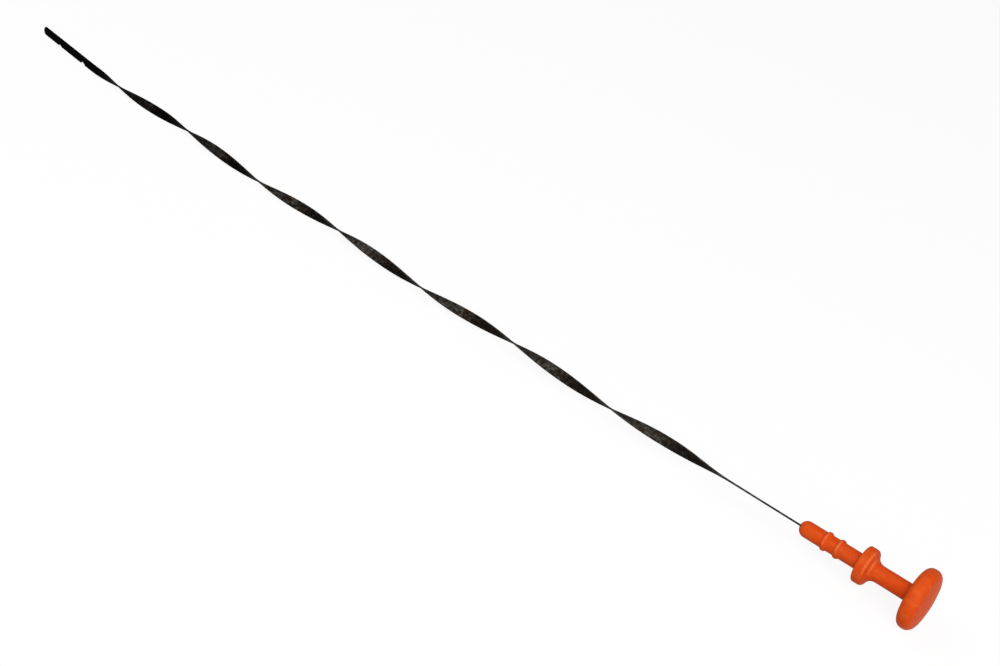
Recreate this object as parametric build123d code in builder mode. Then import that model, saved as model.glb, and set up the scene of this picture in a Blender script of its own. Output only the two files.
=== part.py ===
from build123d import *
from math import cos, hypot, radians, sin, tan
import os

# Engine oil dipstick: a twisted steel blade with a plastic pull handle moulded over its tang.
# It lies as it comes to rest: flat tip on edge, head rim on the ground, blade rising to the head.
# +X runs from the tip to the head, +Z is up, and the ground is Z = 0. Millimetres and degrees.

# Blade strip
blade_width = 5.5
blade_thickness = 0.8
blade_edge_radius = 0.25
blade_length = 586.3  # from the tip to the end of the handle's nose
tip_flat_length = 54.5
tip_corner_radius = 2.5
plain_length = 34.0  # untwisted stretch in front of the handle's nose
tang_length = 38.0
tang_hole_diameter = 3.0
tang_hole_from_end = 8.0

# Level marks, cut in the lower edge of the tip
mark_radius = 3.0
low_mark_from_tip = 19.6
low_mark_depth = 0.75
high_mark_from_tip = 46.8
high_mark_depth = 1.3

# Twist
twist_turns = 3.642
twist_ease = 24.0  # stretch at each end over which the twist rate grows or fades
twist_offset = 0.85  # middle of the strip from the line it is twisted about
twist_sections = 70  # cross sections that the twisted run is drawn through

# Lie on the ground
tip_bend_angle = 5.0
tip_bend_after_flat = 1.0
tip_bend_length = 12.0
lift_angle = 2.3  # slope of the handle's axis
lift_share = 0.945  # share of the straight run that the rise to the handle takes up

# Stopper end of the handle, measured from the end of the nose
shaft_diameter = 8.0
nose_flat_diameter = 0.4
rib_diameter = 9.5
rib_crest_width = 1.1
rib_slope_run = 1.0
rib_blend_radius = 0.7
first_rib_from_nose = 14.0
second_rib_from_nose = 20.7

# Flange, neck and head of the handle
seat_from_nose = 32.1
seat_corner_radius = 0.4
flange_diameter = 18.1
flange_rim_width = 4.6
flange_foot_width = 6.7
flange_edge_radius = 0.8
flange_shoulder_radius = 2.0
flange_fillet_radius = 4.4
neck_diameter = 8.4
neck_length = 19.1
head_fillet_radius = 0.8
head_diameter = 30.0
head_thickness = 6.9
head_inner_rim_radius = 3.2
head_outer_rim_radius = 3.6
head_crown = 1.8
head_flat_diameter = 12.0
head_crown_radius = 40.0

# Distances along the handle, from the end of the nose
neck_start = seat_from_nose + flange_foot_width
head_start = neck_start + neck_length
head_end = head_start + head_thickness + head_crown

# Centreline of the blade: bent tip, run along the ground, then the slope of the handle's axis
axis_height = hypot(blade_width / 2, twist_offset)
tip_bend_radius = tip_bend_length / radians(tip_bend_angle)
tip_bend_reach = tip_bend_radius * tan(radians(tip_bend_angle / 2))
tip_run = tip_flat_length + tip_bend_after_flat + tip_bend_reach
rim_centre_radius = head_diameter / 2 - head_inner_rim_radius
rise = rim_centre_radius * cos(radians(lift_angle)) + head_inner_rim_radius - axis_height
lift_to_nose = rise / sin(radians(lift_angle)) - head_start - head_inner_rim_radius
ground_run = blade_length - tip_run - lift_to_nose
lift_reach = lift_share * min(ground_run - tip_bend_reach, lift_to_nose)
lift_radius = lift_reach / tan(radians(lift_angle / 2))

tip_direction = Vector(cos(radians(tip_bend_angle)), -sin(radians(tip_bend_angle)), 0)
ground_direction = Vector(1, 0, 0)
handle_direction = Vector(cos(radians(lift_angle)), 0, sin(radians(lift_angle)))
overall_length = (
    tip_direction.X * tip_run + ground_run + handle_direction.X * (lift_to_nose + head_end)
)

bend_corner = Vector(tip_direction.X * tip_run - overall_length / 2, 0, axis_height)
tip_end = bend_corner - tip_direction * tip_run
lift_corner = bend_corner + ground_direction * ground_run
nose_end = lift_corner + handle_direction * lift_to_nose

with BuildLine() as centreline:
    FilletPolyline(tip_end, bend_corner, lift_corner, nose_end, radius=[tip_bend_radius, lift_radius])
spine = centreline.wires()[0]

# The twist runs from the flat tip to the plain stretch
twist_total = 360 * twist_turns
twist_end = spine.length - plain_length
twist_length = twist_end - tip_flat_length
twist_rate = twist_total / (twist_length - twist_ease)


def eased(length):
    """Length that turns at the full rate as much as an eased stretch of this length."""
    if length > twist_ease:
        return length - twist_ease / 2
    share = max(length, 0) / twist_ease
    return twist_ease * (share**3 - share**4 / 2)


def turned_at(from_tip):
    """Angle that the strip has turned at a distance from the tip."""
    into_twist = from_tip - tip_flat_length
    if into_twist < twist_length / 2:
        return twist_rate * eased(into_twist)
    return twist_total - twist_rate * eased(twist_length - into_twist)


def offset_at(turned):
    """Offset of the strip from the twist line, full after the first half turn and before the last."""
    half_turn = 180
    return twist_offset * min(1, turned / half_turn, (twist_total - turned) / half_turn)


def strip_plane(from_tip):
    """Plane square to the centreline, with its X across the strip's width."""
    along = spine.tangent_at(from_tip, position_mode=PositionMode.LENGTH)
    across = Vector(0, 0, 1).rotate(Axis((0, 0, 0), along), turned_at(from_tip))
    origin = spine.position_at(from_tip, position_mode=PositionMode.LENGTH)
    return Plane(origin=origin, x_dir=across, z_dir=along)


def strip_section(from_tip):
    """Rounded cross section of the strip."""
    with BuildSketch(strip_plane(from_tip)) as section:
        with Locations((0, offset_at(turned_at(from_tip)))):
            RectangleRounded(blade_width, blade_thickness, blade_edge_radius)
    return section.sketch.face()


def strip_side(from_tip):
    """Plane on the strip's middle, with its X along the strip and its Y across the width."""
    square = strip_plane(from_tip)
    return Plane(origin=square.origin, x_dir=square.z_dir, z_dir=square.y_dir)


with BuildPart() as blade:
    # Flat tip, twisted run, then the plain stretch with the tang inside the handle
    extrude(strip_section(tip_flat_length), amount=-tip_flat_length)
    loft(
        [
            strip_section(tip_flat_length + twist_length * step / twist_sections)
            for step in range(twist_sections + 1)
        ]
    )
    extrude(strip_section(twist_end), amount=plain_length + tang_length)
    # Rounded tip corners
    with BuildSketch(strip_side(0)):
        Rectangle(tip_corner_radius, blade_width, align=(Align.MIN, Align.CENTER))
        RectangleRounded(
            tip_flat_length,
            blade_width,
            tip_corner_radius,
            align=(Align.MIN, Align.CENTER),
            mode=Mode.SUBTRACT,
        )
    extrude(amount=blade_thickness, both=True, mode=Mode.SUBTRACT)
    # Level marks in the lower edge
    with BuildSketch(strip_side(0)):
        for from_tip, depth in (
            (low_mark_from_tip, low_mark_depth),
            (high_mark_from_tip, high_mark_depth),
        ):
            with Locations((from_tip, -blade_width / 2 - mark_radius + depth)):
                Circle(mark_radius)
    extrude(amount=blade_thickness, both=True, mode=Mode.SUBTRACT)
    # Hole in the tang, which the moulded plastic fills
    with BuildSketch(strip_side(twist_end)):
        with Locations((plain_length + tang_length - tang_hole_from_end, 0)):
            Circle(tang_hole_diameter / 2)
    extrude(amount=blade_thickness, both=True, mode=Mode.SUBTRACT)
blade.part.label = "blade"


def rib_points(crest_from_nose):
    """Corners of one sealing rib's outline, each with its rounding."""
    crest = rib_crest_width / 2
    foot = crest + rib_slope_run
    return [
        ((crest_from_nose - foot, shaft_diameter / 2), rib_blend_radius),
        ((crest_from_nose - crest, rib_diameter / 2), rib_blend_radius),
        ((crest_from_nose + crest, rib_diameter / 2), rib_blend_radius),
        ((crest_from_nose + foot, shaft_diameter / 2), rib_blend_radius),
    ]


# Half outline of the handle: distance from the nose, radius, and the rounding of each corner
handle_corners = [
    ((0, shaft_diameter / 2), (shaft_diameter - nose_flat_diameter) / 2),
    *rib_points(first_rib_from_nose),
    *rib_points(second_rib_from_nose),
    ((seat_from_nose, shaft_diameter / 2), seat_corner_radius),
    ((seat_from_nose, flange_diameter / 2), flange_edge_radius),
    ((seat_from_nose + flange_rim_width, flange_diameter / 2), flange_shoulder_radius),
    ((neck_start, neck_diameter / 2), flange_fillet_radius),
    ((head_start, neck_diameter / 2), head_fillet_radius),
    ((head_start, head_diameter / 2), head_inner_rim_radius),
    ((head_start + head_thickness, head_diameter / 2), head_outer_rim_radius),
    ((head_end, head_flat_diameter / 2), head_crown_radius),
]

with BuildPart() as handle:
    with BuildSketch(Plane(origin=nose_end, x_dir=handle_direction, z_dir=(0, -1, 0))):
        with BuildLine():
            FilletPolyline(
                (0, 0),
                *[corner for corner, rounding in handle_corners],
                (head_end, 0),
                radius=[rounding for corner, rounding in handle_corners],
            )
            Line((head_end, 0), (0, 0))
        make_face()
    revolve(axis=Axis(nose_end, handle_direction))
    # The plastic is moulded round the tang
    add(blade.part, mode=Mode.SUBTRACT)
handle.part.label = "handle"

os.makedirs("parts", exist_ok=True)
export_step(blade.part, "parts/blade.step")
export_step(handle.part, "parts/handle.step")
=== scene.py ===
"""Engine oil dipstick: a twisted black steel blade in an orange pull handle, lying on a pale floor."""

import logging
import math
from dataclasses import dataclass, replace
from enum import Enum

import bmesh
import bpy
from bmesh.types import BMesh, BMFace, BMVert
from mathutils import Matrix, Vector


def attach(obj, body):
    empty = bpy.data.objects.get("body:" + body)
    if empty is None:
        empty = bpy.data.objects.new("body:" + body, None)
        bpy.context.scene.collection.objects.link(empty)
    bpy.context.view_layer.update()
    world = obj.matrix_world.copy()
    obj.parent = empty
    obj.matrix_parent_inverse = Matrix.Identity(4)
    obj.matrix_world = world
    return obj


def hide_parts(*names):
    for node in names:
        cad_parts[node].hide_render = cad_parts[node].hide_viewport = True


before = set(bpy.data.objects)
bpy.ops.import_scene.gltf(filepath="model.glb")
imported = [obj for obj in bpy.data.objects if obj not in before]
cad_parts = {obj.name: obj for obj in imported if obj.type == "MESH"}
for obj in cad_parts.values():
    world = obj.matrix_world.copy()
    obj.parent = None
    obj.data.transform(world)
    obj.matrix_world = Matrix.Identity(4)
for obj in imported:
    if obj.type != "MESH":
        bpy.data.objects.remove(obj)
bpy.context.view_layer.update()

LOG = logging.getLogger("dipstick")
MM = 0.001
UP = Vector((0.0, 0.0, 1.0))
# Name of the blade's mask of how far each face turns toward the lamps, which carries its painted sheen.
LIT_FACE = "lit_face"
# Name of the handle's mask of painted highlights on its raised edges.
HIGHLIGHT = "painted_highlight"
Colour = tuple[float, float, float]
Corner = tuple[float, float, float]


class Slot(str, Enum):
    """Material slots of the record."""

    BLADE = "blade_steel"
    HANDLE = "handle_plastic"


class Space(str, Enum):
    """Where a pattern takes its coordinates from."""

    OBJECT = "Object"
    STRIP = "along_strip"


def clamp(value: float) -> float:
    """Value held between 0 and 1."""
    return min(max(value, 0.0), 1.0)


@dataclass(frozen=True)
class Pattern:
    """Soft irregular pattern: its coordinates, waves per metre along each, octaves and their roughness."""

    space: Space
    scale: tuple[float, float, float]
    detail: float
    roughness: float = 0.5


@dataclass(frozen=True)
class Ramp:
    """Range of a value, and the results at its start and its end."""

    low: float
    high: float
    start: float = 0.0
    end: float = 1.0


class Finish:
    """Node tree of one finish, with short calls for the nodes that the finishes share."""

    def __init__(self, name: str) -> None:
        """Starts an empty material.

        Args:
            name: Name of the material.
        """
        self.material = bpy.data.materials.new(name)
        self.material.use_nodes = True
        self.tree = self.material.node_tree
        self.tree.nodes.clear()
        self.surface = self.tree.nodes.new("ShaderNodeOutputMaterial")

    def node(self, kind: str, settings: dict | None = None, **inputs: object) -> bpy.types.Node:
        """Adds a node.

        Args:
            kind: Node type.
            settings: Properties of the node itself.
            inputs: Sockets by name with spaces as underscores, each a value or another node's socket.

        Returns:
            The new node.
        """
        made = self.tree.nodes.new(kind)
        for key, value in (settings or {}).items():
            setattr(made, key, value)
        for key, value in inputs.items():
            socket = made.inputs[key.replace("_", " ")]
            if isinstance(value, bpy.types.NodeSocket):
                self.tree.links.new(value, socket)
            else:
                socket.default_value = value
        return made

    def attribute(self, name: str) -> bpy.types.NodeSocket:
        """Number that the mesh carries under a name."""
        return self.node("ShaderNodeAttribute", {"attribute_name": name}).outputs["Fac"]

    def coordinates(self, space: Space) -> bpy.types.NodeSocket:
        """Coordinates that a pattern reads.

        Args:
            space: Object space, or the strip's own length and width.

        Returns:
            Vector socket.
        """
        if space is Space.OBJECT:
            return self.node("ShaderNodeTexCoord").outputs["Object"]
        return self.node("ShaderNodeAttribute", {"attribute_name": space.value}).outputs["Vector"]

    def noise(self, pattern: Pattern) -> bpy.types.NodeSocket:
        """Draws a pattern from 0 to 1.

        Args:
            pattern: Pattern to draw.

        Returns:
            Value socket.
        """
        placed = self.node("ShaderNodeMapping", Vector=self.coordinates(pattern.space), Scale=pattern.scale)
        made = self.node(
            "ShaderNodeTexNoise",
            Vector=placed.outputs["Vector"],
            Scale=1.0,
            Detail=pattern.detail,
            Roughness=pattern.roughness,
        )
        return made.outputs["Fac"]

    def span(self, value: bpy.types.NodeSocket, ramp: Ramp) -> bpy.types.NodeSocket:
        """Carries a value along a ramp that is smooth at both ends.

        Args:
            value: Value socket.
            ramp: Range that is read, with its results.

        Returns:
            Value socket.
        """
        made = self.node(
            "ShaderNodeMapRange",
            {"interpolation_type": "SMOOTHSTEP"},
            Value=value,
            From_Min=ramp.low,
            From_Max=ramp.high,
            To_Min=ramp.start,
            To_Max=ramp.end,
        )
        return made.outputs["Result"]

    def part(
        self, value: bpy.types.NodeSocket, ramp: Ramp, whole: bpy.types.NodeSocket
    ) -> bpy.types.NodeSocket:
        """Takes the part of a mask that a ramp leaves.

        Args:
            value: Value socket that the ramp reads.
            ramp: Range that is read, with its results.
            whole: Mask that is reduced.

        Returns:
            Value socket.
        """
        return self.math("MULTIPLY", self.span(value, ramp), whole)

    def math(self, operation: str, first: object, second: object = 0.0) -> bpy.types.NodeSocket:
        """Result of one sum.

        Args:
            operation: Operation of the Math node.
            first: Value or socket.
            second: Value or socket.

        Returns:
            Value socket.
        """
        made = self.tree.nodes.new("ShaderNodeMath")
        made.operation = operation
        for socket, value in zip(made.inputs, (first, second)):
            if isinstance(value, bpy.types.NodeSocket):
                self.tree.links.new(value, socket)
            else:
                socket.default_value = value
        return made.outputs["Value"]

    def blend(self, amount: bpy.types.NodeSocket, first: object, second: object) -> bpy.types.NodeSocket:
        """Colour between two colours.

        Args:
            amount: Share of the second colour.
            first: Colour or socket.
            second: Colour or socket.

        Returns:
            Colour socket.
        """
        made = self.tree.nodes.new("ShaderNodeMix")
        made.data_type = "RGBA"
        self.tree.links.new(amount, made.inputs[0])
        for socket, value in zip((made.inputs[6], made.inputs[7]), (first, second)):
            if isinstance(value, bpy.types.NodeSocket):
                self.tree.links.new(value, socket)
            else:
                socket.default_value = (*value, 1.0)
        return made.outputs[2]

    def bump(
        self, height: bpy.types.NodeSocket, depth: float, under: bpy.types.NodeSocket | None = None
    ) -> bpy.types.NodeSocket:
        """Surface normal of a relief.

        Args:
            height: Relief from 0 to 1.
            depth: Depth of the relief in metres.
            under: Normal of a relief that it lies on.

        Returns:
            Normal socket.
        """
        made = self.node("ShaderNodeBump", Height=height, Strength=1.0, Distance=depth)
        if under is not None:
            self.tree.links.new(under, made.inputs["Normal"])
        return made.outputs["Normal"]

    def close(self, shader: bpy.types.NodeSocket) -> bpy.types.Material:
        """Joins the shader to the surface and returns the material."""
        self.tree.links.new(shader, self.surface.inputs["Surface"])
        return self.material


@dataclass(frozen=True)
class BlackOxide:
    """Black oxide on steel: oily black at the tip, drier and mottled further along, with a painted sheen of
    grey, brown and pale scuffs on the faces that look up toward the lamps, so the faces that look down keep
    the black coat.
    """

    oily: Colour = (0.0009, 0.0007, 0.0005)
    stained: Colour = (0.012, 0.0088, 0.0068)
    # The brown, the dry grey, the pale rubbed grey and the bare steel colour also paint the sheen on the
    # faces turned toward the lamps.
    sheen_brown: Colour = (0.03, 0.02, 0.0145)
    dry_grey_and_sheen: Colour = (0.047, 0.042, 0.0365)
    painted_highlight: Colour = (0.135, 0.129, 0.119)
    bare_steel_and_sheen: Colour = (0.12, 0.115, 0.106)
    specular: float = 0.004
    line_depth: float = 0.006 * MM
    grain_depth: float = 0.004 * MM

    drawn_lines: Pattern = Pattern(Space.STRIP, (45.0, 5200.0, 0.0), 4.0, 0.6)
    clouds: Pattern = Pattern(Space.OBJECT, (95.0, 95.0, 95.0), 3.0)
    blotches: Pattern = Pattern(Space.OBJECT, (430.0, 430.0, 430.0), 4.0, 0.6)
    scuff_and_glint_noise: Pattern = Pattern(Space.STRIP, (380.0, 820.0, 0.0), 5.0, 0.65)
    grain: Pattern = Pattern(Space.OBJECT, (5200.0, 5200.0, 5200.0), 2.0)

    wiping: Ramp = Ramp(52 * MM, 560 * MM)
    first_drying: Ramp = Ramp(52 * MM, 90 * MM, 0.0, 0.12)
    later_drying: Ramp = Ramp(90 * MM, 330 * MM, 0.0, 0.88)
    uneven_drying: Ramp = Ramp(0.3, 0.7, 0.75, 1.2)
    uneven_edge: Ramp = Ramp(0.3, 0.7, -0.2, 0.2)
    sheen_tinge: Ramp = Ramp(0.64, 0.92, 0.0, 0.8)
    painted_sheen: Ramp = Ramp(0.86, 1.05)
    specks: Ramp = Ramp(0.48, 0.65, 0.0, 0.7)
    highlight_scuffs: Ramp = Ramp(0.48, 0.64, 0.0, 0.75)
    sheen_streaks: Ramp = Ramp(0.56, 0.8, 0.0, 0.3)
    edge: Ramp = Ramp(2.52 * MM, 2.74 * MM)
    edge_wear: Ramp = Ramp(0.42, 0.66, 0.1, 0.5)
    cloud_gloss: Ramp = Ramp(0.3, 0.7, 0.38, 0.5)
    line_gloss: Ramp = Ramp(0.3, 0.8, -0.03, 0.07)

    def material(self) -> bpy.types.Material:
        """Builds the finish and returns its material."""
        finish = Finish("black_oxide")
        strip = finish.node("ShaderNodeSeparateXYZ", Vector=finish.coordinates(Space.STRIP)).outputs
        drawn_lines, clouds = finish.noise(self.drawn_lines), finish.noise(self.clouds)
        blotches, scuff_and_glint_noise = finish.noise(self.blotches), finish.noise(self.scuff_and_glint_noise)

        dryness = finish.math(
            "ADD", finish.span(strip["X"], self.first_drying), finish.span(strip["X"], self.later_drying)
        )
        dryness = finish.part(clouds, self.uneven_drying, dryness)
        # Painted sheen: faces turned toward the lamps, with a blotchy edge, are painted grey and brown where
        # the steel is dry.
        sheen_side = finish.math("ADD", finish.attribute(LIT_FACE), finish.span(blotches, self.uneven_edge))
        painted_sheen = finish.part(sheen_side, self.painted_sheen, dryness)
        edge = finish.part(finish.math("ABSOLUTE", strip["Y"]), self.edge, dryness)
        coat = finish.blend(finish.span(strip["X"], self.wiping), self.oily, self.stained)
        # The brown tinge, the grey film, the pale rubs and the bare streaks on the faces turned up are
        # painted sheen; the dry specks and the bare worn edges are the steel's own wear.
        for share, colour in (
            (finish.part(sheen_side, self.sheen_tinge, dryness), self.sheen_brown),
            (painted_sheen, self.dry_grey_and_sheen),
            (finish.part(scuff_and_glint_noise, self.specks, dryness), self.dry_grey_and_sheen),
            (finish.part(scuff_and_glint_noise, self.highlight_scuffs, painted_sheen), self.painted_highlight),
            (finish.part(drawn_lines, self.sheen_streaks, painted_sheen), self.bare_steel_and_sheen),
            (finish.part(blotches, self.edge_wear, edge), self.bare_steel_and_sheen),
        ):
            coat = finish.blend(share, coat, colour)

        gloss = finish.math(
            "ADD", finish.span(clouds, self.cloud_gloss), finish.span(drawn_lines, self.line_gloss)
        )
        relief = finish.bump(drawn_lines, self.line_depth)
        relief = finish.bump(finish.noise(self.grain), self.grain_depth, relief)
        shader = finish.node("ShaderNodeBsdfPrincipled", Base_Color=coat, Roughness=gloss, Normal=relief)
        shader.inputs["Specular IOR Level"].default_value = self.specular
        return finish.close(shader.outputs["BSDF"])


@dataclass(frozen=True)
class OrangePlastic:
    """Orange moulded plastic with a fine grain, faint flow marks, a soft gloss and painted highlights on its
    raised edges.
    """

    body: Colour = (0.78, 0.084, 0.009)
    deep: Colour = (0.74, 0.068, 0.0045)
    pale: Colour = (0.8, 0.12, 0.021)
    # Pale orange of the painted highlights on the raised edges.
    painted_highlight: Colour = (0.95, 0.2, 0.06)
    specular: float = 0.05
    flow_depth: float = 0.012 * MM
    grain_depth: float = 0.005 * MM

    flow: Pattern = Pattern(Space.OBJECT, (140.0, 420.0, 420.0), 3.0)
    clouds: Pattern = Pattern(Space.OBJECT, (60.0, 60.0, 60.0), 2.0)
    grain: Pattern = Pattern(Space.OBJECT, (2600.0, 2600.0, 2600.0), 2.0)
    scuff_and_glint_noise: Pattern = Pattern(Space.OBJECT, (700.0, 2600.0, 900.0), 4.0, 0.65)

    depth: Ramp = Ramp(0.35, 0.65, 0.0, 0.6)
    paleness: Ramp = Ramp(0.45, 0.7, 0.0, 0.8)
    uneven_highlight: Ramp = Ramp(0.35, 0.6, 0.4, 1.0)
    flow_gloss: Ramp = Ramp(0.3, 0.7, 0.44, 0.52)
    scuff_gloss: Ramp = Ramp(0.55, 0.8, 0.0, 0.12)

    def material(self) -> bpy.types.Material:
        """Builds the finish and returns its material."""
        finish = Finish("orange_plastic")
        flow, scuff_and_glint_noise = finish.noise(self.flow), finish.noise(self.scuff_and_glint_noise)

        colour = finish.blend(finish.span(finish.noise(self.clouds), self.depth), self.body, self.deep)
        colour = finish.blend(finish.span(flow, self.paleness), colour, self.pale)
        # Painted highlight: pale orange on the sides of the raised edges that face the lamps.
        glint_share = finish.part(scuff_and_glint_noise, self.uneven_highlight, finish.attribute(HIGHLIGHT))
        colour = finish.blend(glint_share, colour, self.painted_highlight)
        gloss = finish.math(
            "ADD", finish.span(flow, self.flow_gloss), finish.span(scuff_and_glint_noise, self.scuff_gloss)
        )
        relief = finish.bump(flow, self.flow_depth)
        relief = finish.bump(finish.noise(self.grain), self.grain_depth, relief)
        shader = finish.node("ShaderNodeBsdfPrincipled", Base_Color=colour, Roughness=gloss, Normal=relief)
        shader.inputs["Specular IOR Level"].default_value = self.specular
        return finish.close(shader.outputs["BSDF"])


@dataclass(frozen=True)
class PaleFloor:
    """White floor that stays white to the eye and keeps a soft shadow."""

    seen_colour: Colour = (0.95, 0.95, 0.95)
    bounce_colour: Colour = (0.45, 0.45, 0.45)
    shadow_share: float = 0.14
    glow: float = 1.04

    def material(self) -> bpy.types.Material:
        """Builds the finish and returns its material."""
        finish = Finish("pale_floor")
        path = finish.node("ShaderNodeLightPath").outputs
        seen = finish.math("MAXIMUM", path["Is Camera Ray"], path["Is Glossy Ray"])
        seen = finish.math("MAXIMUM", seen, path["Is Transmission Ray"])
        colour = finish.blend(seen, self.bounce_colour, self.seen_colour)
        paint = finish.node("ShaderNodeBsdfDiffuse", Color=colour)
        light = finish.node("ShaderNodeEmission", Strength=self.glow)
        amount = finish.math("MULTIPLY", seen, 1.0 - self.shadow_share)
        mix = finish.node("ShaderNodeMixShader", Fac=amount)
        finish.tree.links.new(paint.outputs["BSDF"], mix.inputs[1])
        finish.tree.links.new(light.outputs["Emission"], mix.inputs[2])
        return finish.close(mix.outputs["Shader"])


def add_piece(name: str, shape: BMesh, finish: bpy.types.Material) -> bpy.types.Object:
    """Makes an object of a finished shape.

    Args:
        name: Name of the piece.
        shape: Mesh in place in the row frame; it is freed here.
        finish: Material of the piece.

    Returns:
        The new object, with smooth shading.
    """
    for face in shape.faces:
        face.smooth = True
    mesh = bpy.data.meshes.new(name)
    shape.to_mesh(mesh)
    shape.free()
    mesh.materials.append(finish)
    piece = bpy.data.objects.new(name, mesh)
    bpy.context.scene.collection.objects.link(piece)
    LOG.info("%s: %d faces", name, len(mesh.polygons))
    return piece


@dataclass(frozen=True)
class HighlightEdge:
    """Raised edge of the handle that gets a painted highlight, in millimetres along the axis."""

    middle: float
    half_width: float
    strength: float

    def moved(self, along: float) -> "HighlightEdge":
        """The same edge, further along the axis."""
        return replace(self, middle=self.middle + along)

    def amount(self, from_nose: float) -> float:
        """Share of the painted highlight at a distance from the nose."""
        return self.strength * clamp(1 - ((from_nose - self.middle) / self.half_width) ** 2)


@dataclass(frozen=True)
class HandleSizes:
    """Sizes of the pull handle in millimetres, along its axis from the end of the nose."""

    shaft_radius: float = 4.0
    nose_flat: float = 0.2
    rib_radius: float = 4.75
    rib_crest: float = 1.1
    rib_slope: float = 1.0
    rib_blend: float = 0.7
    ribs: tuple[float, float] = (14.0, 20.7)
    seat: float = 32.1
    seat_corner: float = 0.4
    flange_radius: float = 9.05
    flange_rim: float = 4.6
    flange_foot: float = 6.7
    flange_edge: float = 0.8
    flange_shoulder: float = 2.0
    flange_fillet: float = 4.4
    neck_radius: float = 4.2
    neck_length: float = 19.1
    head_fillet: float = 0.8
    head_radius: float = 15.0
    head_thickness: float = 6.9
    head_inner_rim: float = 3.2
    head_outer_rim: float = 3.6
    head_crown: float = 1.8
    head_flat: float = 6.0
    head_crown_radius: float = 40.0

    @property
    def head_start(self) -> float:
        """Distance from the nose to the head."""
        return self.seat + self.flange_foot + self.neck_length

    @property
    def head_end(self) -> float:
        """Distance from the nose to the top of the crown."""
        return self.head_start + self.head_thickness + self.head_crown

    def rib_corners(self, middle: float) -> list[Corner]:
        """Corners of one sealing rib.

        Args:
            middle: Distance from the nose to the middle of the crest.

        Returns:
            Distance, radius and rounding of each corner.
        """
        crest = self.rib_crest / 2
        foot = crest + self.rib_slope
        return [
            (middle - foot, self.shaft_radius, self.rib_blend),
            (middle - crest, self.rib_radius, self.rib_blend),
            (middle + crest, self.rib_radius, self.rib_blend),
            (middle + foot, self.shaft_radius, self.rib_blend),
        ]

    def corners(self) -> list[Corner]:
        """Distance, radius and rounding of each corner of the half outline."""
        rim_end = self.head_start + self.head_thickness
        return [
            (0.0, self.shaft_radius, self.shaft_radius - self.nose_flat),
            *self.rib_corners(self.ribs[0]),
            *self.rib_corners(self.ribs[1]),
            (self.seat, self.shaft_radius, self.seat_corner),
            (self.seat, self.flange_radius, self.flange_edge),
            (self.seat + self.flange_rim, self.flange_radius, self.flange_shoulder),
            (self.seat + self.flange_foot, self.neck_radius, self.flange_fillet),
            (self.head_start, self.neck_radius, self.head_fillet),
            (self.head_start, self.head_radius, self.head_inner_rim),
            (rim_end, self.head_radius, self.head_outer_rim),
            (self.head_end, self.head_flat, self.head_crown_radius),
        ]


@dataclass(frozen=True)
class BladeSizes:
    """Sizes of the steel strip and of its lie, in millimetres and degrees."""

    width: float = 5.5
    thickness: float = 0.8
    edge_radius: float = 0.25
    length: float = 586.3
    flat: float = 54.5
    tip_corner: float = 2.5
    tip_round: float = 0.2
    plain: float = 34.0
    tang: float = 38.0
    mark_radius: float = 3.0
    marks: tuple[tuple[float, float], ...] = ((19.6, 0.75), (46.8, 1.3))
    turns: float = 3.642
    ease: float = 24.0
    offset: float = 0.85
    bend_angle: float = 5.0
    bend_after_flat: float = 1.0
    bend_length: float = 12.0
    lift_angle: float = 2.3
    lift_share: float = 0.945


class Lie:
    """Line that the blade follows: bent tip, run along the ground, slow rise to the handle."""

    def __init__(self, blade: BladeSizes, handle: HandleSizes) -> None:
        """Works out the runs and arcs of the line.

        Args:
            blade: Sizes of the strip.
            handle: Sizes of the handle, whose head rests on the ground.
        """
        self.height = math.hypot(blade.width / 2, blade.offset)
        self.bend = math.radians(blade.bend_angle)
        self.lift = math.radians(blade.lift_angle)
        self.bend_from = blade.flat + blade.bend_after_flat
        self.bend_radius = blade.bend_length / self.bend
        bend_reach = self.bend_radius * math.tan(self.bend / 2)
        tip_run = self.bend_from + bend_reach
        rim = handle.head_radius - handle.head_inner_rim
        rise = rim * math.cos(self.lift) + handle.head_inner_rim - self.height
        lift_to_nose = rise / math.sin(self.lift) - handle.head_start - handle.head_inner_rim
        ground_run = blade.length - tip_run - lift_to_nose
        lift_reach = blade.lift_share * min(ground_run - bend_reach, lift_to_nose)
        self.lift_radius = lift_reach / math.tan(self.lift / 2)
        lifted_run = math.cos(self.lift) * (lift_to_nose + handle.head_end)
        overall = math.cos(self.bend) * tip_run + ground_run + lifted_run
        self.bend_to = self.bend_from + blade.bend_length
        self.ground_start = math.cos(self.bend) * tip_run - overall / 2 + bend_reach
        self.lift_from = self.bend_to + ground_run - bend_reach - lift_reach
        self.lift_to = self.lift_from + self.lift_radius * self.lift
        self.nose = self.lift_to + lift_to_nose - lift_reach

    def at(self, from_tip: float) -> tuple[Vector, Vector]:
        """Place and direction of the line.

        Args:
            from_tip: Distance along the line from the tip.

        Returns:
            Point and unit direction.
        """
        if from_tip < self.bend_to:
            turn = self.bend * clamp((self.bend_to - from_tip) / (self.bend_to - self.bend_from))
            along = Vector((math.cos(turn), -math.sin(turn), 0.0))
            place = Vector((self.ground_start, 0.0, self.height))
            place += self.bend_radius * Vector((-math.sin(turn), 1 - math.cos(turn), 0.0))
            return place - along * max(self.bend_from - from_tip, 0.0), along
        turn = self.lift * clamp((from_tip - self.lift_from) / (self.lift_to - self.lift_from))
        along = Vector((math.cos(turn), 0.0, math.sin(turn)))
        run = min(from_tip, self.lift_from) - self.bend_to
        place = Vector((self.ground_start + run, 0.0, self.height))
        place += self.lift_radius * Vector((math.sin(turn), 0.0, 1 - math.cos(turn)))
        return place + along * max(from_tip - self.lift_to, 0.0), along


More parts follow.
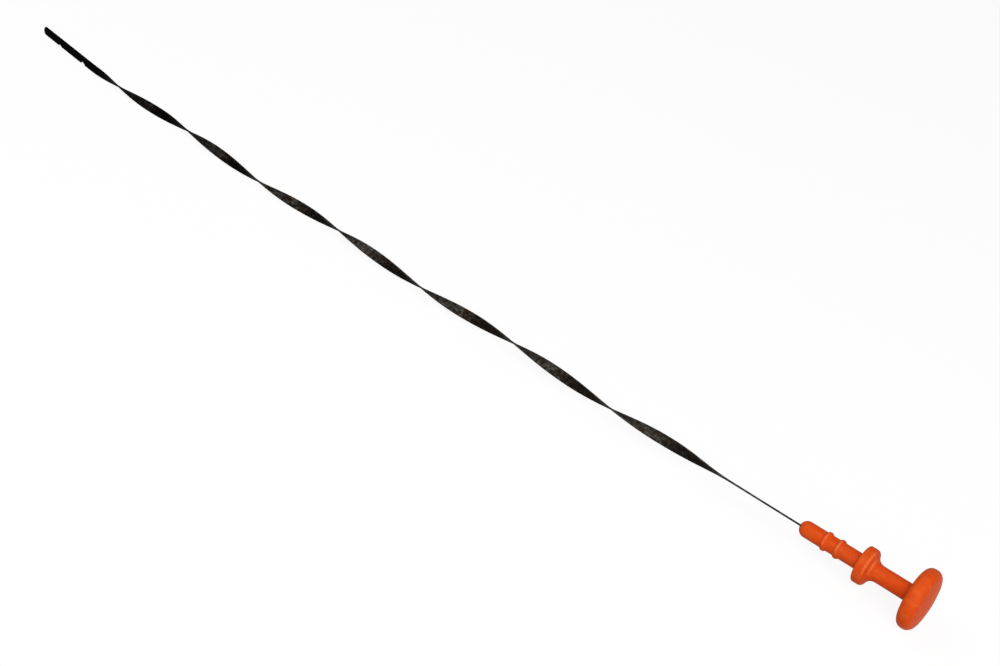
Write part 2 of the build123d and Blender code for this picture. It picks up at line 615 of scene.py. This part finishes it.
class Blade:
    """Flat steel strip with a rounded tip, notched level marks, a long twist and a tang in the handle."""

    NODE = "blade"
    FLAT_CUTS = 5
    EDGE_STEPS = 4
    TIP_STEPS = 14
    MARK_STEP = 0.15
    LEAST_STEP = 0.015
    TWIST_STEP = 0.75
    FLAT_STEP = 2.0
    # Way toward the lamps: faces turned this way get the painted sheen.
    LIT_FACE_WAY = Vector((0.0, -0.407, 0.914))

    def __init__(self, sizes: BladeSizes, lie: Lie) -> None:
        """Keeps the sizes and works out the twist.

        Args:
            sizes: Sizes of the strip.
            lie: Line that the strip follows.
        """
        self.sizes = sizes
        self.lie = lie
        self.end = lie.nose + sizes.tang
        self.twist_length = lie.nose - sizes.plain - sizes.flat
        self.total = math.radians(360.0 * sizes.turns)
        self.rate = self.total / (self.twist_length - sizes.ease)

    def eased(self, length: float) -> float:
        """Length that turns at the full rate as much as an eased stretch of this length."""
        if length > self.sizes.ease:
            return length - self.sizes.ease / 2
        share = max(length, 0.0) / self.sizes.ease
        return self.sizes.ease * (share**3 - share**4 / 2)

    def turned(self, from_tip: float) -> float:
        """Angle that the strip has turned at a distance from the tip."""
        into = from_tip - self.sizes.flat
        if into < self.twist_length / 2:
            return self.rate * self.eased(into)
        return self.total - self.rate * self.eased(self.twist_length - into)

    def offset(self, turned: float) -> float:
        """Offset of the strip from the line it is twisted about."""
        return self.sizes.offset * min(1.0, turned / math.pi, (self.total - turned) / math.pi)

    def half_widths(self, from_tip: float) -> tuple[float, float]:
        """Reach of the strip below and above its middle.

        Args:
            from_tip: Distance from the tip.

        Returns:
            Lower and upper half width.
        """
        half = self.sizes.width / 2
        corner = self.sizes.tip_corner
        if from_tip < corner:
            half -= corner - math.sqrt(corner**2 - (corner - from_tip) ** 2)
        lower = half
        for middle, depth in self.sizes.marks:
            radius = self.sizes.mark_radius
            chord = math.sqrt(radius**2 - (radius - depth) ** 2)
            if abs(from_tip - middle) < chord:
                lower -= math.sqrt(radius**2 - (from_tip - middle) ** 2) - (radius - depth)
        return lower, half

    def stations(self) -> list[float]:
        """Distances from the tip at which the strip has a cross section, closer where its outline curves."""
        sizes = self.sizes
        quarter = (math.pi / 2 * step / self.TIP_STEPS for step in range(self.TIP_STEPS + 1))
        spots = {sizes.tip_corner * (1 - math.cos(angle)) for angle in quarter}
        for middle, depth in sizes.marks:
            reach = math.sqrt(sizes.mark_radius**2 - (sizes.mark_radius - depth) ** 2)
            count = math.ceil(2 * reach / self.MARK_STEP)
            spots |= {middle - reach + 2 * reach * i / count for i in range(count + 1)}
        twist_end = sizes.flat + self.twist_length
        for start, stop, step in (
            (sizes.tip_corner, sizes.flat, self.FLAT_STEP),
            (sizes.flat, twist_end, self.TWIST_STEP),
            (twist_end, self.end, self.FLAT_STEP),
        ):
            count = math.ceil((stop - start) / step)
            spots |= {start + (stop - start) * i / count for i in range(count + 1)}
        kept: list[float] = []
        for spot in sorted(spots):
            if not kept or spot - kept[-1] > self.LEAST_STEP:
                kept.append(spot)
        return kept

    def place(self, from_tip: float, across: float, through: float) -> Vector:
        """Carries a point of the straight strip to its place on the twisted one.

        Args:
            from_tip: Distance from the tip.
            across: Distance from the middle of the width.
            through: Distance from the middle of the thickness.

        Returns:
            Point in the row frame, in metres.
        """
        middle, along = self.lie.at(from_tip)
        turned = self.turned(from_tip)
        upright = (UP - along * along.dot(UP)).normalized()
        width_way = Matrix.Rotation(turned, 3, along) @ upright
        face_way = along.cross(width_way)
        return (middle + width_way * across + face_way * (through + self.offset(turned))) * MM

    def section(self, shape: BMesh) -> list[BMVert]:
        """Starts the strip with its rounded cross section, X across the width and Y through the thickness.

        Args:
            shape: Mesh that takes the section.

        Returns:
            Vertices of the section.
        """
        bmesh.ops.create_grid(shape, x_segments=1, y_segments=1, size=0.5)
        bmesh.ops.scale(shape, vec=(self.sizes.width, self.sizes.thickness, 1.0), verts=shape.verts)
        bmesh.ops.bevel(
            shape,
            geom=shape.verts[:],
            offset=self.sizes.edge_radius,
            offset_type="OFFSET",
            affect="VERTICES",
            segments=self.EDGE_STEPS,
            profile=0.5,
            material=-1,
        )
        broad = [edge for edge in shape.edges if edge.calc_length() > self.sizes.width / 2]
        bmesh.ops.bisect_edges(shape, edges=broad, cuts=self.FLAT_CUTS)
        return shape.verts[:]

    def build(self, finish: bpy.types.Material) -> bpy.types.Object:
        """Draws the section out along the stations.

        Args:
            finish: Material of the strip.

        Returns:
            The strip's object.
        """
        shape = bmesh.new()
        strip = shape.verts.layers.float_vector.new(Space.STRIP.value)
        section = shape.verts.layers.float_vector.new("section")
        for vert in self.section(shape):
            vert[section] = vert.co
        faces = shape.faces[:]
        half = self.sizes.width / 2
        for number, from_tip in enumerate(self.stations()):
            if number:
                grown = bmesh.ops.extrude_face_region(shape, geom=[faces[-1]])["geom"]
                faces.append(next(item for item in grown if isinstance(item, BMFace)))
            lower, upper = self.half_widths(from_tip)
            short = max(self.sizes.tip_round - from_tip, 0.0)
            inset = self.sizes.tip_round - math.sqrt(self.sizes.tip_round**2 - short**2)
            for vert in faces[-1].verts:
                across, through, _ = vert[section]
                across *= ((upper if across > 0 else lower) - inset) / half
                through *= 1 - 2 * inset / self.sizes.thickness
                vert[strip] = (from_tip * MM, across * MM, through * MM)
                vert.co = self.place(from_tip, across, through)
        bmesh.ops.delete(shape, geom=[face for face in faces[1:-1] if face.is_valid], context="FACES_ONLY")
        shape.verts.layers.float_vector.remove(section)
        bmesh.ops.recalc_face_normals(shape, faces=shape.faces)
        # Painted sheen mask: how far each vertex's normal turns toward the lamps.
        lit_face = shape.verts.layers.float.new(LIT_FACE)
        shape.normal_update()
        for vert in shape.verts:
            vert[lit_face] = vert.normal.dot(self.LIT_FACE_WAY)
        piece = add_piece("steel_blade", shape, finish)
        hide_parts(self.NODE)
        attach(piece, "root")
        return piece


class Outline:
    """Half outline of a turned piece, drawn in the XY plane: X along the axis, Y the radius."""

    ARC_STEP = math.radians(7.5)
    LONGEST = 0.5

    def __init__(self, start: Vector) -> None:
        """Puts the pen down.

        Args:
            start: First point.
        """
        self.shape = bmesh.new()
        self.pen = self.shape.verts.new(start)

    def line(self, to: Vector) -> None:
        """Draws a straight line in short steps.

        Args:
            to: End of the line.
        """
        start = self.pen.co.copy()
        count = max(math.ceil((to - start).length / self.LONGEST), 1)
        for step in range(1, count + 1):
            self.pen = bmesh.ops.extrude_vert_indiv(self.shape, verts=[self.pen])["verts"][0]
            self.pen.co = start.lerp(to, step / count)

    def arc(self, middle: Vector, angle: float) -> None:
        """Draws an arc.

        Args:
            middle: Centre of the arc.
            angle: Angle that it turns, positive to the left.
        """
        steps = max(math.ceil(abs(angle) / self.ARC_STEP), 2)
        made = bmesh.ops.spin(
            self.shape, geom=[self.pen], cent=middle, axis=UP, angle=angle, steps=steps, use_duplicate=False
        )
        self.pen = next(item for item in made["geom_last"] if isinstance(item, BMVert))

    def through(self, corners: list[Corner], end: Vector) -> None:
        """Draws on through rounded corners.

        Args:
            corners: Distance, radius and rounding of each corner.
            end: Last point.
        """
        points = [self.pen.co.copy(), *(Vector((x, y, 0.0)) for x, y, _ in corners), end]
        for before, here, after, (_, _, rounding) in zip(points, points[1:], points[2:], corners):
            way_in = (here - before).normalized()
            way_out = (after - here).normalized()
            angle = math.atan2(way_in.cross(way_out).z, way_in.dot(way_out))
            reach = rounding * math.tan(abs(angle) / 2)
            self.line(here - way_in * reach)
            left = Vector((-way_in.y, way_in.x, 0.0)) * math.copysign(rounding, angle)
            self.arc(self.pen.co + left, angle)
        self.line(end)


class Handle:
    """Moulded pull handle: blunt nose, ribbed stopper shaft, seat flange, neck and round head."""

    NODE = "handle"
    FACETS = 240
    MERGE = 1e-4
    SEAM_HEIGHT = 0.03
    SEAM_ANGLE = math.radians(155.5)
    SEAM_REACH = 1e-3
    SEAM_INNER_RADIUS = 1.0
    GATE_FROM_NOSE = 64.2
    GATE_RADIUS = 1.2
    GATE_DEPTH = 0.3
    # Raised edges that get painted highlights, and the way toward the lamps that they must face.
    RIB_HIGHLIGHT = HighlightEdge(-0.1375, 0.7, 1.0)
    RIM_END_HIGHLIGHTS = (HighlightEdge(-0.2, 0.6, 0.85), HighlightEdge(1.6, 0.6, 1.0))
    HIGHLIGHT_WAY = Vector((0.0, -0.62, 0.785))
    HIGHLIGHT_FROM = 0.55
    HIGHLIGHT_FULL = 0.95

    def __init__(self, sizes: HandleSizes, lie: Lie) -> None:
        """Keeps the sizes and the place of the nose.

        Args:
            sizes: Sizes of the handle.
            lie: Line of the blade, which the handle's axis carries on.
        """
        self.sizes = sizes
        self.nose, self.along = lie.at(lie.nose)

    def turn(self) -> BMesh:
        """Turns the half outline into the handle's body.

        Returns:
            Closed mesh with the axis along X and the nose's end at the origin, in millimetres.
        """
        outline = Outline(Vector((0.0, 0.0, 0.0)))
        outline.through(self.sizes.corners(), Vector((self.sizes.head_end, 0.0, 0.0)))
        shape = outline.shape
        bmesh.ops.spin(
            shape,
            geom=shape.verts[:] + shape.edges[:],
            cent=(0.0, 0.0, 0.0),
            axis=(1.0, 0.0, 0.0),
            angle=math.tau,
            steps=self.FACETS,
            use_merge=True,
            use_duplicate=False,
        )
        bmesh.ops.remove_doubles(shape, verts=shape.verts, dist=self.MERGE)
        bmesh.ops.rotate(
            shape, cent=(0.0, 0.0, 0.0), matrix=Matrix.Rotation(self.SEAM_ANGLE, 3, "X"), verts=shape.verts
        )
        bmesh.ops.recalc_face_normals(shape, faces=shape.faces)
        return shape

    def mark(self, shape: BMesh) -> None:
        """Raises the mould's parting seam and sinks the gate scar on the head's rim.

        Args:
            shape: Body of the handle about the X axis.
        """
        seam_way = Vector((0.0, math.cos(self.SEAM_ANGLE), math.sin(self.SEAM_ANGLE)))
        side_way = Vector((1.0, 0.0, 0.0)).cross(seam_way)
        shape.normal_update()
        seam = [
            vert
            for vert in shape.verts
            if abs(vert.co.dot(side_way)) < self.SEAM_REACH and vert.co.yz.length > self.SEAM_INNER_RADIUS
        ]
        rim = [vert for vert in seam if vert.co.dot(seam_way) > self.sizes.flange_radius]
        gate = min(rim, key=lambda vert: abs(vert.co.x - self.GATE_FROM_NOSE)).co.copy()
        moves = [(vert, vert.normal * self.SEAM_HEIGHT) for vert in seam]
        for vert in shape.verts:
            apart = (vert.co - gate).length / self.GATE_RADIUS
            if apart < 1.0:
                moves.append((vert, vert.normal * -self.GATE_DEPTH * (1 - apart**2) ** 2))
        for vert, move in moves:
            vert.co += move

    def paint_highlights(self, shape: BMesh) -> None:
        """Notes how much painted highlight each spot gets: the raised edges, on the side that faces the
        lamps.

        Args:
            shape: Body of the handle about the X axis.
        """
        rim_end = self.sizes.seat + self.sizes.flange_rim
        edges = [self.RIB_HIGHLIGHT.moved(rib) for rib in self.sizes.ribs]
        edges += [edge.moved(rim_end) for edge in self.RIM_END_HIGHLIGHTS]
        painted_highlight = shape.verts.layers.float.new(HIGHLIGHT)
        for vert in shape.verts:
            reach = max(edge.amount(vert.co.x) for edge in edges)
            side = Vector((0.0, vert.co.y, vert.co.z)).normalized().dot(self.HIGHLIGHT_WAY)
            facing = clamp((side - self.HIGHLIGHT_FROM) / (self.HIGHLIGHT_FULL - self.HIGHLIGHT_FROM))
            vert[painted_highlight] = reach * facing

    def build(self, finish: bpy.types.Material) -> bpy.types.Object:
        """Turns, marks and places the handle.

        Args:
            finish: Material of the handle.

        Returns:
            The handle's object.
        """
        shape = self.turn()
        self.mark(shape)
        self.paint_highlights(shape)
        tilt = math.atan2(self.along.z, self.along.x)
        place = Matrix.Scale(MM, 4) @ Matrix.Translation(self.nose) @ Matrix.Rotation(-tilt, 4, "Y")
        bmesh.ops.transform(shape, matrix=place, verts=shape.verts)
        piece = add_piece("pull_handle", shape, finish)
        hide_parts(self.NODE)
        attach(piece, "root")
        return piece


@dataclass(frozen=True)
class Lamp:
    """Soft square lamp."""

    name: str
    place: tuple[float, float, float]
    size: float
    power: float


@dataclass(frozen=True)
class Viewpoint:
    """Camera of the photograph: where it looks, from which side, and how it is rolled."""

    target: tuple[float, float, float] = (67.8463 * MM, 10.4716 * MM, 0.0)
    distance: float = 786.4933 * MM
    azimuth: float = -33.5935
    elevation: float = 32.9933
    roll: float = 13.9426
    sensor: float = 36.0
    lens: float = 54.0
    nearest: float = 0.01
    farthest: float = 50.0


class Studio:
    """Pale floor, soft lamps, white surroundings and the camera."""

    FLOOR_SIZE = 12.0
    AIM = Vector((0.05, 0.0, 0.0))
    LAMPS = (
        Lamp("key_lamp", (0.95, -1.3, 1.5), 1.6, 22.0),
        Lamp("side_lamp", (1.9, -0.45, 0.55), 0.9, 7.0),
        Lamp("fill_lamp", (-0.7, -0.35, 1.3), 0.9, 4.5),
        Lamp("glint_lamp", (0.85, -1.35, 1.3), 0.25, 6.0),
    )
    SURROUND = 0.2

    def floor(self) -> None:
        """Lays the floor under the part."""
        shape = bmesh.new()
        bmesh.ops.create_grid(shape, x_segments=1, y_segments=1, size=self.FLOOR_SIZE / 2)
        add_piece("floor", shape, PaleFloor().material())

    def surroundings(self) -> None:
        """Soft light from all round, white to the eye and in reflections."""
        world = bpy.data.worlds.new("studio")
        world.use_nodes = True
        nodes, links = world.node_tree.nodes, world.node_tree.links
        nodes.clear()
        path = nodes.new("ShaderNodeLightPath")
        seen = path.outputs["Is Camera Ray"]
        for ray in ("Is Glossy Ray", "Is Transmission Ray"):
            either = nodes.new("ShaderNodeMath")
            either.operation = "MAXIMUM"
            links.new(seen, either.inputs[0])
            links.new(path.outputs[ray], either.inputs[1])
            seen = either.outputs["Value"]
        level = nodes.new("ShaderNodeMapRange")
        level.inputs["To Min"].default_value = self.SURROUND
        level.inputs["To Max"].default_value = 1.0
        links.new(seen, level.inputs["Value"])
        sky = nodes.new("ShaderNodeBackground")
        sky.inputs["Color"].default_value = (1.0, 1.0, 1.0, 1.0)
        links.new(level.outputs["Result"], sky.inputs["Strength"])
        out = nodes.new("ShaderNodeOutputWorld")
        links.new(sky.outputs["Background"], out.inputs["Surface"])
        bpy.context.scene.world = world

    def lamps(self) -> None:
        """Hangs the soft lamps, each aimed at the part."""
        for lamp in self.LAMPS:
            light = bpy.data.lights.new(lamp.name, "AREA")
            light.size = lamp.size
            light.energy = lamp.power
            hung = bpy.data.objects.new(lamp.name, light)
            hung.location = lamp.place
            hung.rotation_euler = (self.AIM - Vector(lamp.place)).to_track_quat("-Z", "Y").to_euler()
            bpy.context.scene.collection.objects.link(hung)

    def camera(self, view: Viewpoint) -> None:
        """Sets up the camera.

        Args:
            view: Viewpoint of the photograph.
        """
        azimuth, elevation = math.radians(view.azimuth), math.radians(view.elevation)
        forward = Vector(
            (
                math.sin(azimuth) * math.cos(elevation),
                math.cos(azimuth) * math.cos(elevation),
                -math.sin(elevation),
            )
        )
        level = Vector((math.cos(azimuth), -math.sin(azimuth), 0.0))
        right = Matrix.Rotation(math.radians(-view.roll), 3, forward) @ level
        upward = right.cross(forward)
        axes = Matrix((right, upward, -forward)).transposed().to_4x4()
        data = bpy.data.cameras.new("camera")
        data.sensor_fit = "HORIZONTAL"
        data.sensor_width = view.sensor
        data.lens = view.lens
        data.clip_start, data.clip_end = view.nearest, view.farthest
        camera = bpy.data.objects.new("camera", data)
        camera.matrix_world = Matrix.Translation(Vector(view.target) - forward * view.distance) @ axes
        bpy.context.scene.collection.objects.link(camera)
        bpy.context.scene.camera = camera

    def build(self) -> None:
        """Sets the stage round the part."""
        self.floor()
        self.surroundings()
        self.lamps()
        self.camera(Viewpoint())
        bpy.context.scene.view_settings.view_transform = "Standard"


def main() -> None:
    """Builds the blade, the handle and the studio in order."""
    logging.basicConfig(level=logging.INFO, format="%(name)s: %(message)s")
    blade_sizes, handle_sizes = BladeSizes(), HandleSizes()
    lie = Lie(blade_sizes, handle_sizes)
    Blade(blade_sizes, lie).build(BlackOxide().material())
    Handle(handle_sizes, lie).build(OrangePlastic().material())
    Studio().build()


if __name__ == "__main__":
    main()
